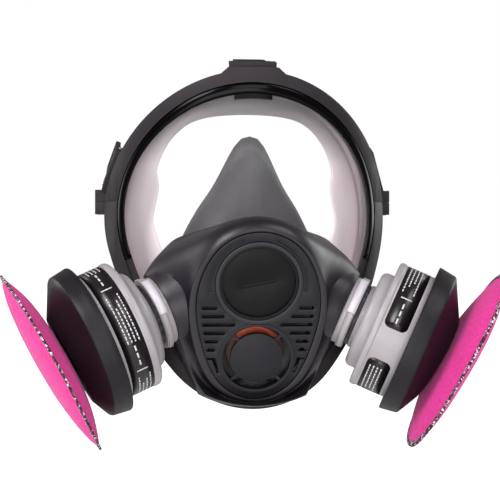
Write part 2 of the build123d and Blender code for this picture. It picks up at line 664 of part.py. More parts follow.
def clamp_ring():
    """Ring nut on the housing's tube that pulls the housing against the lens."""
    ring = tube(HOUSING_AXIS, 43.5, TUBE_R + CLEAR, 35.6, 38.9)
    notches = extrude(hole_ring(HOUSING_AXIS.offset(35.0), 43.8, 8, 1.8), 8)
    return ring - notches


def diaphragm():
    return disc(FACE, BARREL_BORE - 0.2, -2.5, -2.1)


def diaphragm_oring():
    return tube(FACE, BARREL_BORE - 0.2, DIAPHRAGM_BORE + 0.6, -2.0, -0.9)


def diaphragm_ring():
    """Slim retaining ring between the barrel and the cap."""
    return tube(FACE, BARREL_BORE - RUN, CAP_R + RUN, -0.8, 3.0)


def main():
    os.makedirs("parts", exist_ok=True)
    upper, lower = frame_halves()
    single = {
        "lens": lens(),
        "frame_upper": upper,
        "frame_lower": lower,
        "frame_screws": frame_screws(),
        "frame_nuts": frame_nuts(),
        "face_seal": face_seal(),
        "nose_cup": nose_cup(),
        "front_housing": front_housing(),
        "housing_gasket": housing_gasket(),
        "clamp_ring": clamp_ring(),
        "speech_diaphragm": diaphragm(),
        "diaphragm_oring": diaphragm_oring(),
        "diaphragm_ring": diaphragm_ring(),
        "diaphragm_cap": diaphragm_cap(),
        "front_cover": front_cover(),
        "exhalation_seat": exhalation_seat(),
        "exhalation_valve": exhalation_valve(),
    }
    paired = {
        "nose_valve_seat": nose_valve_seat(),
        "nose_valve": nose_valve(),
        "connector": connector(),
        "connector_ring": connector_ring(),
        "inhalation_valve": inhalation_valve(),
        "cartridge_gasket": cartridge_gasket(),
        "cartridge_case": cartridge_case(),
        "bed_screens": bed_screens(),
        "sorbent_bed": sorbent_bed(),
        "cartridge_cap": cartridge_cap(),
        "filter_adapter": filter_adapter(),
        "adapter_seal": adapter_seal(),
        "filter_hub": filter_hub(),
        "filter_pad": filter_pad(),
    }
    for name, shape in single.items():
        save(name, shape)
    for name, shape in paired.items():
        for left in (True, False):
            save(f"{name}_{'left' if left else 'right'}", side(shape, left))
    pins = []
    for name in BUCKLES:
        plane = buckle_plane(name)
        for left in ((True,) if name == "brow" else (True, False)):
            label = name if left else name.replace("left", "right")
            save(f"buckle_{label}", side(buckle(plane), left))
            save(f"roller_{label}", side(roller(plane), left))
            pins.append(side(buckle_pin(plane), left))
    save("buckle_pins", Compound(children=[s for p in pins for s in p.solids()]))


main()
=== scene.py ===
"""Looks for the full-face respirator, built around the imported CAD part.

The shapes are worked out in millimetres and turned into metres when a mesh is made. Lights, the camera and
the lengths inside materials are in metres.
"""

import json
import math

import bmesh
import bpy
from mathutils import Matrix, Vector


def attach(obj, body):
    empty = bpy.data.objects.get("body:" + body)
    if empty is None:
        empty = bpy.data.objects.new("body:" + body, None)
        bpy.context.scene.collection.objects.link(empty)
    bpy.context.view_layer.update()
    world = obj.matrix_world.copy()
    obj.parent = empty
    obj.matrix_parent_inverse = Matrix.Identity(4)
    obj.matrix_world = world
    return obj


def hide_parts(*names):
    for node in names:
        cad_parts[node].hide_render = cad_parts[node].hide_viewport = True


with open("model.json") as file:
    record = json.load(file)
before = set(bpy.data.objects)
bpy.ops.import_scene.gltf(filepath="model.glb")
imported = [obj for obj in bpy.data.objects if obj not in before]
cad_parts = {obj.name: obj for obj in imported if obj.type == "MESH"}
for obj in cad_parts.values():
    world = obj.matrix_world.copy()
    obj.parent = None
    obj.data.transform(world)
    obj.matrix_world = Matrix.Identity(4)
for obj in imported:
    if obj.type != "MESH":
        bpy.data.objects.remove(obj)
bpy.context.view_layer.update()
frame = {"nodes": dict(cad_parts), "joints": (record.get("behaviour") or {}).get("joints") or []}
NODES = frame["nodes"]
JOINTS = {j["name"]: j for j in frame["joints"]}
MM = 0.001

# The facts of the CAD part that the visual pieces follow, in millimetres.
LENS_R, LENS_AXIS_Y = 98.0, 46.0
OUTLINE_RADII = (87.3, 82.8, 185.0, 61.0)
OUTLINE_TURNS = (0.0, 55.0, 105.0, 130.0, 180.0)
BROW_Z = 97.0
CHEEK_Z = -17.0
FACE_R, FACE_AXIS_Y, SEAL_THICK = 90.0, 72.0, 3.0
OPENING_HALF = [
    (0, 74), (30, 71), (46, 59.5), (54.5, 42), (53.5, 30), (57, 10), (54.5, -1),
    (51, -12), (50.5, -26), (49.5, -40), (42, -57), (29, -71.5), (0, -80.5),
]
NOSE_REAR_HALF = [
    (0, 77.5), (8.5, 72), (21, 47), (32, 29), (41, 9), (44, -14), (40, -33), (25, -49), (0, -56),
]


# ---------------------------------------------------------------- node material helpers
class Nodes:
    """A small wrapper that adds and links shader nodes."""

    def __init__(self, name):
        self.mat = bpy.data.materials.new(name)
        self.mat.use_nodes = True
        self.tree = self.mat.node_tree
        self.bsdf = self.tree.nodes["Principled BSDF"]

    def add(self, kind, **props):
        node = self.tree.nodes.new(kind)
        for key, value in props.items():
            setattr(node, key, value)
        return node

    def put(self, node, key, value):
        """Sets an input, or links it if the value is a socket."""
        if isinstance(value, bpy.types.NodeSocket):
            self.tree.links.new(value, node.inputs[key])
        else:
            node.inputs[key].default_value = value

    def where(self):
        return self.add("ShaderNodeTexCoord").outputs["Object"]

    def noise(self, scale, detail=3.0, rough=0.55, vector=None):
        node = self.add("ShaderNodeTexNoise")
        self.put(node, "Vector", vector or self.where())
        self.put(node, "Scale", scale)
        self.put(node, "Detail", detail)
        self.put(node, "Roughness", rough)
        return node.outputs["Fac"]

    def remap(self, value, low, high, start=0.0, end=1.0):
        node = self.add("ShaderNodeMapRange")
        self.put(node, "Value", value)
        for key, x in (("From Min", start), ("From Max", end), ("To Min", low), ("To Max", high)):
            self.put(node, key, x)
        return node.outputs["Result"]

    def math(self, op, a, b=0.0, clamp=False):
        node = self.add("ShaderNodeMath", operation=op, use_clamp=clamp)
        self.put(node, 0, a)
        self.put(node, 1, b)
        return node.outputs[0]

    def mix(self, fac, a, b):
        node = self.add("ShaderNodeMix", data_type="RGBA")
        self.put(node, 0, fac)
        self.put(node, 6, a)
        self.put(node, 7, b)
        return node.outputs[2]

    def bump(self, height, strength, distance, normal=None):
        node = self.add("ShaderNodeBump")
        self.put(node, "Height", height)
        self.put(node, "Strength", strength)
        self.put(node, "Distance", distance)
        if normal is not None:
            self.put(node, "Normal", normal)
        return node.outputs["Normal"]


def rgb(r, g, b):
    """A display colour, 0 to 255, as the linear colour that a shader takes."""
    def lin(v):
        v /= 255.0
        return v / 12.92 if v <= 0.04045 else ((v + 0.055) / 1.055) ** 2.4
    return (lin(r), lin(g), lin(b), 1.0)


def scaled(colour, k):
    return (colour[0] * k, colour[1] * k, colour[2] * k, 1.0)


def rubbed_highlit_tone(colour):
    """The lighter tone of a dark plastic's edges: rubbed wear and painted highlight."""
    return tuple(min(1.0, channel * 2.2 + 0.03) for channel in colour[:3]) + (1.0,)


def edge_rub_and_highlight(n, width=0.0006):
    """Near 1 on convex edges, which are drawn lighter: wear from handling and painted highlight."""
    bevel = n.add("ShaderNodeBevel", samples=4)
    n.put(bevel, "Radius", width)
    geometry = n.add("ShaderNodeNewGeometry")
    dot = n.add("ShaderNodeVectorMath", operation="DOT_PRODUCT")
    n.put(dot, 0, bevel.outputs["Normal"])
    n.put(dot, 1, geometry.outputs["Normal"])
    return n.remap(dot.outputs["Value"], 1.0, 0.0, 0.82, 0.995)


def plastic(name, colour, rough, grain=1800.0, grain_depth=0.00003, rub_and_highlight=0.35, spec=0.5, sheen=0.0):
    """Moulded plastic: faint colour drift, fine texture, uneven gloss, and lighter edges that are partly
    wear and partly painted highlight.
    """
    n = Nodes(name)
    drift = n.noise(22.0, 4.0)
    tone = n.mix(n.remap(drift, 0.0, 1.0, 0.3, 0.7), scaled(colour, 0.86), scaled(colour, 1.14))
    # Painted highlight as well as wear: convex edges are drawn lighter, in patches.
    if rub_and_highlight:
        edge = edge_rub_and_highlight(n)
        patchy_edge = n.math("MULTIPLY", edge, n.remap(n.noise(160.0, 5.0), 0.2, 1.0, 0.35, 0.65))
        tone = n.mix(n.math("MULTIPLY", patchy_edge, rub_and_highlight), tone, rubbed_highlit_tone(colour))
    n.put(n.bsdf, "Base Color", tone)
    n.put(n.bsdf, "Roughness", n.remap(n.noise(65.0, 6.0, 0.65), rough - 0.07, rough + 0.09, 0.3, 0.7))
    n.put(n.bsdf, "Specular IOR Level", spec)
    normal = n.bump(n.noise(grain, 2.0), 0.35, grain_depth)
    n.put(n.bsdf, "Normal", n.bump(n.noise(55.0, 2.0), 0.06, 0.0004, normal))
    if sheen:
        n.put(n.bsdf, "Sheen Weight", sheen)
    return n.mat


def rubber(name, colour, rough, subsurface=0.0, bloom=0.12, painted_shade=None, spec=0.4, rim=0.0):
    """Soft moulded rubber: satin and slightly dusty.

    Painted shade by height is given as an amount, the height where the rubber is unshaded and the height
    where it is shaded that much.
    rim paints shade on what is seen edge-on.
    """
    n = Nodes(name)
    cloud = n.noise(14.0, 5.0)
    tone = n.mix(n.remap(cloud, 0.0, 1.0, 0.3, 0.7), scaled(colour, 0.9), scaled(colour, 1.08))
    if painted_shade:
        # Painted shade: the tone darkens with height between the two given heights.
        amount, unshaded_z, full_shade_z = painted_shade
        height = n.add("ShaderNodeSeparateXYZ")
        n.put(height, "Vector", n.where())
        tone = n.mix(n.remap(height.outputs["Z"], 0.0, amount, unshaded_z, full_shade_z), tone, scaled(colour, 0.1))
    if rim:
        # Painted shade: the tone darkens where the surface is seen edge-on.
        facing = n.add("ShaderNodeLayerWeight")
        n.put(facing, "Blend", 0.35)
        tone = n.mix(n.remap(facing.outputs["Facing"], 0.0, rim, 0.45, 1.0), tone, scaled(colour, 0.2))
    dust = n.remap(n.noise(420.0, 4.0), 0.0, bloom, 0.5, 0.8)
    tone = n.mix(dust, tone, (0.75, 0.72, 0.74, 1.0))
    n.put(n.bsdf, "Base Color", tone)
    n.put(n.bsdf, "Roughness", n.remap(n.noise(90.0, 4.0), rough - 0.06, rough + 0.08, 0.3, 0.7))
    n.put(n.bsdf, "Specular IOR Level", spec)
    if subsurface:
        n.put(n.bsdf, "Subsurface Weight", subsurface)
        n.put(n.bsdf, "Subsurface Radius", (1.0, 0.85, 0.95))
        n.put(n.bsdf, "Subsurface Scale", 0.004)
    normal = n.bump(n.noise(900.0, 3.0), 0.25, 0.00003)
    n.put(n.bsdf, "Normal", n.bump(n.noise(38.0, 2.0), 0.1, 0.0006, normal))
    return n.mat


def metal(name, colour, rough):
    """Drawn steel: fine grain and a little tarnish."""
    n = Nodes(name)
    tone = n.mix(n.noise(70.0, 5.0), scaled(colour, 0.8), scaled(colour, 1.1))
    n.put(n.bsdf, "Base Color", tone)
    n.put(n.bsdf, "Metallic", 1.0)
    n.put(n.bsdf, "Roughness", n.remap(n.noise(260.0, 5.0), rough - 0.08, rough + 0.14, 0.3, 0.7))
    n.put(n.bsdf, "Normal", n.bump(n.noise(1300.0, 3.0), 0.3, 0.00002))
    return n.mat


def clear_lens():
    """Clear polycarbonate: nearly invisible, brighter at grazing angles, with faint wiping marks."""
    n = Nodes("lens_clear")
    edge = n.add("ShaderNodeLayerWeight")
    n.put(edge, "Blend", 0.12)
    smear = n.remap(n.noise(35.0, 5.0), 0.0, 0.015, 0.5, 0.75)
    n.put(n.bsdf, "Base Color", (0.86, 0.88, 0.9, 1.0))
    shine = n.math("ADD", n.remap(edge.outputs["Fresnel"], 0.03, 0.35), smear, clamp=True)
    shadow = n.add("ShaderNodeLightPath").outputs["Is Shadow Ray"]
    n.put(n.bsdf, "Alpha", n.math("MULTIPLY", shine, n.remap(shadow, 1.0, 0.05)))
    n.put(n.bsdf, "Roughness", n.remap(n.noise(120.0, 4.0), 0.03, 0.09, 0.4, 0.7))
    n.put(n.bsdf, "Specular IOR Level", 0.5)
    n.put(n.bsdf, "Normal", n.bump(n.noise(9.0, 1.0), 0.03, 0.0005))
    return n.mat


def filter_web():
    """Pressed non-woven cover: fibre tangle, faint dimpled grid and soft colour drift."""
    n = Nodes("filter_web")
    where = n.where()
    fibre_a = n.noise(520.0, 6.0, 0.7, where)
    stretch = n.add("ShaderNodeMapping")
    n.put(stretch, "Vector", where)
    n.put(stretch, "Scale", (1.0, 3.2, 0.6))
    fibre_b = n.noise(700.0, 5.0, 0.7, stretch.outputs["Vector"])
    dimple = n.add("ShaderNodeTexVoronoi", feature="SMOOTH_F1")
    n.put(dimple, "Vector", where)
    n.put(dimple, "Scale", 520.0)
    low, high = rgb(176, 16, 102), rgb(226, 60, 152)
    fibre = n.math("MULTIPLY", n.math("ADD", fibre_a, fibre_b), 0.5)
    tone = n.mix(n.remap(fibre, 0.0, 1.0, 0.36, 0.64), low, high)
    tone = n.mix(n.remap(n.noise(30.0, 4.0), 0.0, 0.35, 0.35, 0.7), tone, rgb(212, 52, 144))
    n.put(n.bsdf, "Base Color", tone)
    n.put(n.bsdf, "Roughness", n.remap(fibre, 0.7, 0.95))
    n.put(n.bsdf, "Specular IOR Level", 0.25)
    n.put(n.bsdf, "Sheen Weight", 0.15)
    n.put(n.bsdf, "Sheen Roughness", 0.45)
    n.put(n.bsdf, "Sheen Tint", rgb(255, 190, 225))
    n.put(n.bsdf, "Subsurface Weight", 0.1)
    n.put(n.bsdf, "Subsurface Radius", (1.0, 0.35, 0.6))
    n.put(n.bsdf, "Subsurface Scale", 0.003)
    normal = n.bump(fibre, 0.5, 0.00012)
    n.put(n.bsdf, "Normal", n.bump(dimple.outputs["Distance"], 0.25, 0.0002, normal))
    return n.mat


def weld_speckle():
    """The cut, welded rim: pink web pressed with black charcoal and white backing showing in flecks."""
    n = Nodes("filter_weld")
    fleck = n.noise(430.0, 3.0, 0.6)
    other = n.noise(560.0, 3.0, 0.6)
    tone = n.mix(n.remap(fleck, 0.0, 1.0, 0.53, 0.58), rgb(12, 10, 14), rgb(140, 20, 80))
    tone = n.mix(n.remap(other, 0.0, 1.0, 0.56, 0.6), tone, rgb(200, 204, 208))
    n.put(n.bsdf, "Base Color", tone)
    n.put(n.bsdf, "Roughness", 0.75)
    n.put(n.bsdf, "Normal", n.bump(fleck, 0.6, 0.0004))
    return n.mat


MATS = {
    "lens": clear_lens(),
    "frame": plastic("frame_matt", rgb(34, 30, 33), 0.58, 1500.0, 0.00005, 0.4, 0.22),
    "bezel": plastic("frame_gloss", rgb(3, 2, 3), 0.16, 900.0, 0.00001, 0.1, 0.1),
    "housing": plastic("housing_satin", rgb(20, 15, 23), 0.4, 1600.0, 0.00003, 0.3, 0.38),
    "cover": plastic("cover_satin", rgb(17, 15, 21), 0.46, 1800.0, 0.00004, 0.35, 0.24),
    "cap": plastic("cap_satin", rgb(7, 6, 8), 0.42, 1800.0, 0.00004, 0.5, 0.14),
    "trim": plastic("trim_matt", rgb(16, 14, 17), 0.5),
    "ring": plastic("ring_light", rgb(146, 139, 141), 0.42, 1400.0, 0.00002, 0.1),
    "case": plastic("case_grey", rgb(142, 137, 140), 0.36, 1200.0, 0.00002, 0.1),
    "lug": plastic("lug_white", rgb(184, 179, 186), 0.35, 1400.0, 0.00002, 0.1),
    "label": plastic("label_film", rgb(14, 8, 12), 0.3, 600.0, 0.00001, 0.0, 0.4),
    "print": plastic("label_print", rgb(190, 188, 190), 0.45, 900.0, 0.00001, 0.0),
    "adapter": plastic("adapter_satin", rgb(18, 15, 18), 0.44, 1500.0, 0.00003, 0.35, 0.22),
    "screen": plastic("screen_grey", rgb(150, 146, 150), 0.6),
    "sorbent": plastic("sorbent_black", rgb(16, 16, 16), 0.9, 500.0, 0.0006, 0.0),
    # The seal carries painted shade: darker towards the brow, where the brow shades it, and darker where
    # seen edge-on.
    "seal": rubber("seal_lilac", rgb(228, 215, 219), 0.45, 0.08, 0.08, (0.9, 0.044, 0.078), 0.3, 0.9),
    "nose": rubber("nose_dark", rgb(35, 29, 32), 0.45, 0.0, 0.03, None, 0.22),
    # A lighter copy of the nose cup's rubber for its rolled edge: painted light showing through the thin
    # rubber.
    "nose_lit_rolled_edge": rubber("nose_painted_light", rgb(56, 49, 52), 0.45, 0.0, 0.03, None, 0.22),
    "gasket": rubber("gasket_black", rgb(20, 19, 20), 0.55, 0.0),
    # The valve carries painted shade: almost black below the top of the cover's window, where it lies in
    # shadow.
    "orange": rubber("valve_orange", rgb(196, 70, 14), 0.5, 0.1, 0.02, (1.0, -0.059, -0.061)),
    "inhale": rubber("valve_inhale", rgb(196, 70, 14), 0.5, 0.1, 0.05),
    "grey_valve": rubber("valve_grey", rgb(170, 166, 164), 0.5, 0.2, 0.05),
    "steel": metal("steel_satin", (0.5, 0.5, 0.52, 1.0), 0.3),
    "screw": metal("screw_black", (0.09, 0.09, 0.095, 1.0), 0.36),
    "web": filter_web(),
    "weld": weld_speckle(),
}

# The first entry whose name starts a node's name gives its material.
NODE_LOOKS = [
    ("speech_diaphragm", "lens"), ("lens", "lens"),
    ("frame_screws", "screw"), ("frame_nuts", "screw"), ("frame", "frame"),
    ("face_seal", "seal"), ("nose_cup", "nose"),
    ("nose_valve_seat", "trim"), ("nose_valve", "grey_valve"),
    ("front_housing", "housing"), ("housing_gasket", "gasket"), ("clamp_ring", "trim"),
    ("diaphragm_oring", "gasket"), ("diaphragm_ring", "cap"), ("diaphragm_cap", "cap"),
    ("front_cover", "cover"), ("exhalation_seat", "trim"), ("exhalation_valve", "orange"),
    ("connector_ring", "ring"), ("connector", "ring"), ("inhalation_valve", "inhale"),
    ("cartridge_gasket", "gasket"), ("cartridge_case", "case"), ("cartridge_cap", "case"),
    ("bed_screens", "screen"), ("sorbent_bed", "sorbent"),
    ("filter_adapter", "adapter"), ("adapter_seal", "gasket"),
    ("filter_hub", "trim"), ("filter_pad", "web"),
    ("buckle_pins", "steel"), ("buckle", "frame"), ("roller", "steel"),
]


def smooth_group():
    """A node group that smooths faces and keeps edges sharper than 28 degrees."""
    group = bpy.data.node_groups.new("smooth_by_edge", "GeometryNodeTree")
    group.interface.new_socket("Geometry", in_out="INPUT", socket_type="NodeSocketGeometry")
    group.interface.new_socket("Geometry", in_out="OUTPUT", socket_type="NodeSocketGeometry")
    start, end = group.nodes.new("NodeGroupInput"), group.nodes.new("NodeGroupOutput")
    faces = group.nodes.new("GeometryNodeSetShadeSmooth")
    edges = group.nodes.new("GeometryNodeSetShadeSmooth")
    edges.domain = "EDGE"
    angle = group.nodes.new("GeometryNodeInputMeshEdgeAngle")
    flat = group.nodes.new("FunctionNodeCompare")
    flat.operation = "GREATER_THAN"
    flat.inputs[1].default_value = math.radians(28)
    link = group.links.new
    link(start.outputs[0], faces.inputs["Geometry"])
    link(faces.outputs[0], edges.inputs["Geometry"])
    link(angle.outputs["Unsigned Angle"], flat.inputs[0])
    link(flat.outputs[0], edges.inputs["Selection"])
    edges.inputs["Shade Smooth"].default_value = False
    link(edges.outputs[0], end.inputs[0])
    return group


SMOOTH = smooth_group()


def finish_cad(obj, width_mm):
    """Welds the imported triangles, rounds the sharp edges and smooths the rest."""
    if obj.data.has_custom_normals:
        bpy.context.view_layer.objects.active = obj
        obj.select_set(True)
        bpy.ops.mesh.customdata_custom_splitnormals_clear()
        obj.select_set(False)
    weld = obj.modifiers.new("weld", "WELD")
    weld.merge_threshold = 0.00001
    if width_mm:
        bevel = obj.modifiers.new("round", "BEVEL")
        bevel.width = width_mm * MM
        bevel.segments = 2
        bevel.limit_method = "ANGLE"
        bevel.angle_limit = math.radians(38)
        bevel.use_clamp_overlap = True
        bevel.miter_outer = "MITER_ARC"
    smooth = obj.modifiers.new("smooth", "NODES")
    smooth.node_group = SMOOTH


# How far each moulding's sharp edges are rounded, and a slight break on every other piece, in millimetres.
ROUNDS = {
    "front_cover": 0.35, "front_housing": 0.6, "frame_upper": 0.7, "frame_lower": 0.7, "buckle": 0.4,
    "filter_adapter": 0.8, "cartridge_case": 0.5, "connector_ring": 0.4,
    "diaphragm_cap": 0.35, "diaphragm_ring": 0.3,
}
EDGE_BREAK = 0.15
RUNNING_ROOM = 0.06


def dress_cad():
    """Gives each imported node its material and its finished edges."""
    for name, node in NODES.items():
        look = next(m for key, m in NODE_LOOKS if name.startswith(key))
        node.data.materials.clear()
        node.data.materials.append(MATS[look])
        if name.startswith("sorbent_bed"):
            continue
        finish_cad(node, next((w for key, w in ROUNDS.items() if name.startswith(key)), EDGE_BREAK))
        if name.startswith(("buckle_pins", "roller")):
            # A pin or roller is drawn a little thinner, so that its facets stay clear of its bore.
            room = node.modifiers.new("running_room", "DISPLACE")
            room.mid_level = 0.0
            room.strength = -RUNNING_ROOM * MM


dress_cad()


# ---------------------------------------------------------------- mesh helpers
def mesh_piece(name, verts_mm, faces, mats, body, face_mats=None, levels=0):
    """A mesh piece from points in millimetres, smooth shaded, riding on a body."""
    mesh = bpy.data.meshes.new(name)
    mesh.from_pydata([tuple(c * MM for c in v) for v in verts_mm], [], faces)
    for m in mats:
        mesh.materials.append(m)
    if face_mats:
        for poly, k in zip(mesh.polygons, face_mats):
            poly.material_index = k
    for poly in mesh.polygons:
        poly.use_smooth = True
    bm = bmesh.new()
    bm.from_mesh(mesh)
    bmesh.ops.recalc_face_normals(bm, faces=bm.faces)
    bm.to_mesh(mesh)
    bm.free()
    obj = bpy.data.objects.new(name, mesh)
    bpy.context.scene.collection.objects.link(obj)
    if levels:
        sub = obj.modifiers.new("subdivision", "SUBSURF")
        sub.levels = sub.render_levels = levels
    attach(obj, body)
    return obj


def rings_to_faces(count, size, closed_path=True, closed_ring=True):
    """Quads between neighbouring rings of the same size."""
    faces = []
    for i in range(count if closed_path else count - 1):
        j = (i + 1) % count
        for k in range(size if closed_ring else size - 1):
            m = (k + 1) % size
            faces.append((i * size + k, i * size + m, j * size + m, j * size + k))
    return faces


def lens_y(x, shift=0.0):
    """Depth of the lens's outer face at a distance from the middle, moved back by shift."""
    return LENS_AXIS_Y + shift - math.sqrt(max(LENS_R**2 - x * x, 1.0))


def outline_stations(step_mm):
    """Points all round the frame's outline: x, z and the outward direction there."""
    right = []
    cx, cz = 0.0, BROW_Z - OUTLINE_RADII[0]
    for k, radius in enumerate(OUTLINE_RADII):
        start, end = math.radians(OUTLINE_TURNS[k]), math.radians(OUTLINE_TURNS[k + 1])
        count = max(3, round(radius * (end - start) / step_mm))
        for i in range(count):
            a = start + (end - start) * i / count
            right.append((cx + radius * math.sin(a), cz + radius * math.cos(a), math.sin(a), math.cos(a)))
        if k + 1 < len(OUTLINE_RADII):
            step = radius - OUTLINE_RADII[k + 1]
            cx, cz = cx + step * math.sin(end), cz + step * math.cos(end)
    right.append((0.0, cz - OUTLINE_RADII[-1], 0.0, -1.0))
    left = [(-x, z, -nx, nz) for x, z, nx, nz in reversed(right[1:-1])]
    return right + left


def smooth_loop(half, count=40):
    """A closed smooth curve through half an outline and its mirror image, as many points."""
    whole = list(half) + [(-x, z) for x, z in reversed(half[1:-1])]
    out = []
    n = len(whole)
    for i in range(n):
        p0, p1, p2, p3 = (whole[(i + k) % n] for k in (-1, 0, 1, 2))
        for s in range(count):
            t = s / count
            out.append(tuple(
                0.5 * (2 * p1[c] + (p2[c] - p0[c]) * t + (2 * p0[c] - 5 * p1[c] + 4 * p2[c] - p3[c]) * t * t
                       + (3 * p1[c] - p0[c] - 3 * p2[c] + p3[c]) * t**3)
                for c in (0, 1)
            ))
    return out


def ray_hit(loop, cx, cz, angle):
    """Where a ray from a centre at an angle from +Z crosses a closed curve."""
    dx, dz = math.sin(angle), math.cos(angle)
    best = None
    for i, (x1, z1) in enumerate(loop):
        x2, z2 = loop[(i + 1) % len(loop)]
        ex, ez = x2 - x1, z2 - z1
        det = dx * ez - dz * ex
        if abs(det) < 1e-9:
            continue
        t = ((x1 - cx) * ez - (z1 - cz) * ex) / det
        s = ((x1 - cx) * dz - (z1 - cz) * dx) / det
        if t > 0 and -1e-6 <= s <= 1 + 1e-6 and (best is None or t > best):
            best = t
    return cx + best * dx, cz + best * dz


# ---------------------------------------------------------------- glossy inner band of the frame
def build_bezel():
    """A rounded glossy strip on the frame's inner step, from one cheek over the brow to the other."""
    start = 7.2
    profile = [
        (start, -1.38), (7.3, -2.3), (8.0, -2.85), (9.4, -2.95), (10.7, -2.6),
        (11.55, -1.9), (11.72, -0.9), (11.72, -0.15), (10.5, -1.38),
    ]
    stations = [s for s in outline_stations(2.5) if s[1] > CHEEK_Z]
    middle = next(i for i, s in enumerate(stations) if s[0] < 0)
    stations = stations[middle:] + stations[:middle]
    verts = []
    for x, z, nx, nz in stations:
        widen = 1.0 + 0.5 * max(0.0, nz) ** 3
        for inset, depth in profile:
            reach = start + (inset - start) * widen
            px, pz = x - nx * reach, z - nz * reach
            verts.append((px, lens_y(px, depth), pz))
    faces = rings_to_faces(len(stations), len(profile), closed_path=False)
    last = (len(stations) - 1) * len(profile)
    faces.append(tuple(range(len(profile))))
    faces.append(tuple(last + k for k in reversed(range(len(profile)))))
    obj = mesh_piece("frame_bezel", verts, faces, [MATS["bezel"]], "facepiece")


def build_brow_tab():
    """The small glossy tab in the middle of the brow that holds the lens's top edge."""
    half_width, steps, drop_radius = 11.2, 19, 175.0
    section = ((12.0, -0.15), (12.0, -1.9), (16.6, -1.7), (16.9, -0.15))
    verts = []
    for k in range(steps):
        x = -half_width + 2 * half_width * k / (steps - 1)
        for below, depth in section:
            verts.append((x, lens_y(x, depth), BROW_Z - below - x * x / drop_radius))
    last = (steps - 1) * 4
    faces = rings_to_faces(steps, 4, closed_path=False)
    faces += [(0, 1, 2, 3), (last + 3, last + 2, last + 1, last)]
    tab = mesh_piece("brow_lens_tab", verts, faces, [MATS["bezel"]], "facepiece")
    for poly in tab.data.polygons:
        poly.use_smooth = False


# ---------------------------------------------------------------- face seal
def build_seal():
    """One soft moulding: skirt, rounded bend, flange that follows the face, and a rolled inner lip."""
    inset, bend, wall, flange_rows = 4.2, 7.0, 3.0, 7
    loop = smooth_loop(OPENING_HALF)
    stations = outline_stations(4.0)
    verts = []
    size = 0
    for x, z, nx, nz in stations:
        ax, az = x - nx * inset, z - nz * inset
        angle = math.atan2(ax, az)
        qx, qz = ray_hit(loop, 0.0, 0.0, angle)
        inx, inz = qx - ax, qz - az
        width = math.hypot(inx, inz)
        inx, inz = inx / width, inz / width
        y_start = lens_y(ax, 9.2)

        def face_y(px):
            return FACE_AXIS_Y - math.sqrt((FACE_R + SEAL_THICK) ** 2 - px * px)

        outer, inner = [], []
        skirt_end = max(face_y(ax) + SEAL_THICK - bend, y_start + 1.0)
        for k in range(5):
            t = k / 4
            bow = 1.1 * math.sin(math.pi * t)
            y = y_start + (skirt_end - y_start) * t
            outer.append((ax + inx * (bow * 0.6), y, az + inz * (bow * 0.6)))
            inner.append((ax + inx * (wall + bow * 0.6), y, az + inz * (wall + bow * 0.6)))
        for k in range(1, 4):
            a = math.pi / 2 * k / 4
            reach = bend * (1 - math.cos(a))
            ox, oz = ax + inx * reach, az + inz * reach
            outer.append((ox, skirt_end + bend * math.sin(a), oz))
            reach = wall + (bend - wall) * (1 - math.cos(a))
            kx, kz = ax + inx * reach, az + inz * reach
            inner.append((kx, skirt_end + (bend - wall) * math.sin(a), kz))
        for k in range(flange_rows):
            t = k / (flange_rows - 1)
            reach = bend + (width - bend) * t
            px, pz = ax + inx * reach, az + inz * reach
            sag = 1.2 * math.sin(math.pi * t)
            thick = SEAL_THICK * (1.0 - 0.35 * t)
            outer.append((px, face_y(px) + SEAL_THICK - sag, pz))
            inner.append((px, face_y(px) + SEAL_THICK - thick - sag, pz))
        tip = outer[-1]
        lip = (tip[0] + inx * 0.9, tip[1] - 1.1, tip[2] + inz * 0.9)
        ring = outer + [lip] + list(reversed(inner))
        size = len(ring)
        verts.extend(ring)
    faces = rings_to_faces(len(stations), size)
    obj = mesh_piece("face_seal_soft", verts, faces, [MATS["seal"]], "facepiece", levels=1)
    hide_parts("face_seal")


# ---------------------------------------------------------------- nose cup
def build_nose_cup():
    """A thin moulded cone with a soft rolled edge round the nose and mouth."""
    tilt = math.radians(18.0)
    rear_y, rear_z = -6.0, -14.0
    front_r, front_y, front_z = 37.9, -34.6, -45.0
    rear = smooth_loop(NOSE_REAR_HALF, 12)
    count, rows = 96, 9
    verts, face_mats = [], []
    outer_rows, inner_rows = [], []
    for r in range(rows):
        t = r / (rows - 1)
        outer, inner = [], []
        for i in range(count):
            angle = 2 * math.pi * i / count
            rx, rz = ray_hit(rear, 0.0, 0.0, angle)
            back = Vector((rx, rear_y - rz * math.sin(tilt), rear_z + rz * math.cos(tilt)))
            front = Vector((front_r * math.sin(angle), front_y, front_z + front_r * math.cos(angle)))
            p = front.lerp(back, t)
            middle = Vector((0, p.y, front_z + (rear_z - front_z) * t))
            out = (p - middle)
            out.y = 0
            out.normalize()
            bulge = 1.6 * math.sin(math.pi * t) * (1.0 if abs(angle - math.pi) < 2.0 else 0.35)
            p = p + out * bulge
            wall = 1.9 if r < rows - 1 else 0.8
            outer.append(tuple(p))
            inner.append(tuple(p - out * wall))
        outer_rows.append(outer)
        inner_rows.append(inner)
    lip = []
    for i in range(count):
        a, b = Vector(outer_rows[-1][i]), Vector(inner_rows[-1][i])
        lip.append(tuple((a + b) / 2 + Vector((0, 0.7, 0))))
    for ring in outer_rows + [lip] + list(reversed(inner_rows)):
        verts.extend(ring)
    total = 2 * rows + 1
    faces = rings_to_faces(total, count)
    for i in range(total):
        for k in range(count):
            # The rows at the rolled edge take the lighter rubber: painted light showing through the thin
            # edge.
            face_mats.append(1 if i in (rows - 2, rows - 1) else 0)
    mats = [MATS["nose"], MATS["nose_lit_rolled_edge"]]
    obj = mesh_piece("nose_cup_soft", verts, faces, mats, "facepiece", face_mats)
    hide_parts("nose_cup")


